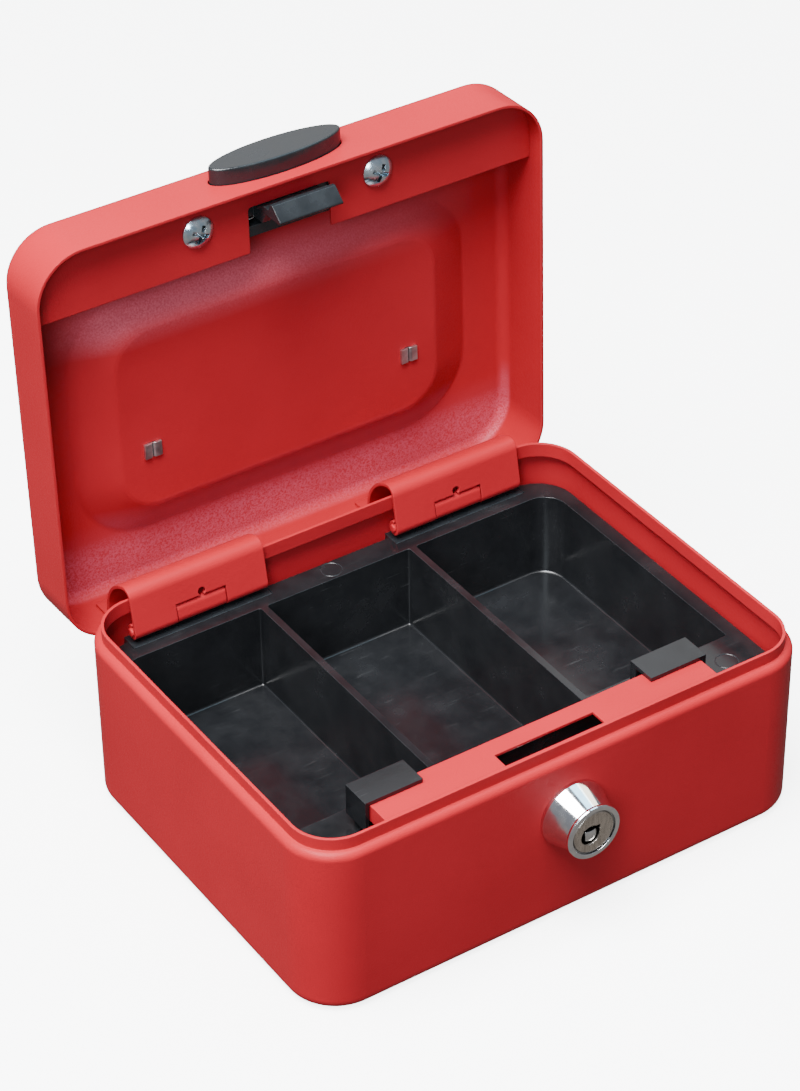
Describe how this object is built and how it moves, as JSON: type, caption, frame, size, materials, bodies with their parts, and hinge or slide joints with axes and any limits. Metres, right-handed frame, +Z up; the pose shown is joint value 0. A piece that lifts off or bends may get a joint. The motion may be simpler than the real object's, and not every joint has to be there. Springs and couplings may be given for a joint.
{
  "type": "cash box",
  "caption": "Small steel cash box with hinged lid, push-button latch, cylinder lock, folding bail handle and a lift-out coin tray.",
  "frame": {"origin": "centre of the underside of the base, where the box stands", "axes": "+X to the right seen from the front, +Y to the back (hinge side), +Z up; stored with the lid standing open"},
  "size_m": [0.152, 0.1517, 0.1604],
  "materials": {
    "powder_coat": "satin red powder coat with a fine grain",
    "tray_moulding": "glossy black styrene",
    "black_moulding": "satin black",
    "zinc_plate": "bright zinc plate",
    "chrome_plate": "polished",
    "spring_steel": "bright"
  },
  "bodies": {
    "base": {"base_shell": "powder_coat", "latch_plate": "powder_coat", "tray_rests": "black_moulding", "hinge_loops": "powder_coat", "hinge_pins": "powder_coat", "lock_body": "chrome_plate", "lock_nut": "zinc_plate"},
    "lid": {"lid_shell": "powder_coat", "lid_plate": "powder_coat", "plate_screws": "zinc_plate", "latch_housing": "black_moulding", "latch_springs": "spring_steel", "hinge_leaf_left": "powder_coat", "hinge_leaf_right": "powder_coat", "handle_clips": "zinc_plate"},
    "latch": {"push_button": "black_moulding", "latch_hook": "black_moulding"},
    "handle": {"handle_bail": "zinc_plate"},
    "lock": {"lock_plug": "chrome_plate", "lock_shutter": "spring_steel", "lock_cam": "zinc_plate", "cam_screw": "zinc_plate"},
    "tray": {"coin_tray": "tray_moulding"}
  },
  "joints": [
    {"name": "lid_hinge", "type": "hinge", "parent": "base", "child": "lid", "pos_m": [0, 0.05409, 0.04424], "axis": [-1, 0, 0], "range_deg": [-91.7, 0]},
    {"name": "handle_fold", "type": "hinge", "parent": "lid", "child": "handle", "pos_m": [0, 0.07868, 0.08182], "axis": [1, 0, 0], "range_deg": [0, 170.5]},
    {"name": "button_press", "type": "slide", "parent": "lid", "child": "latch", "axis": [0, -0.0297, -0.9996], "range_m": [0, 0.002], "stiffness_N_per_m": 500, "springref_m": -0.004, "deforming": ["latch_springs"]},
    {"name": "lock_turn", "type": "hinge", "parent": "base", "child": "lock", "pos_m": [-0.0005, -0.058, 0.0328], "axis": [0, -1, 0], "range_deg": [0, 90]},
    {"name": "tray_lift", "type": "slide", "parent": "base", "child": "tray", "axis": [0, 0, 1], "range_m": [0, 0.055]}
  ]
}
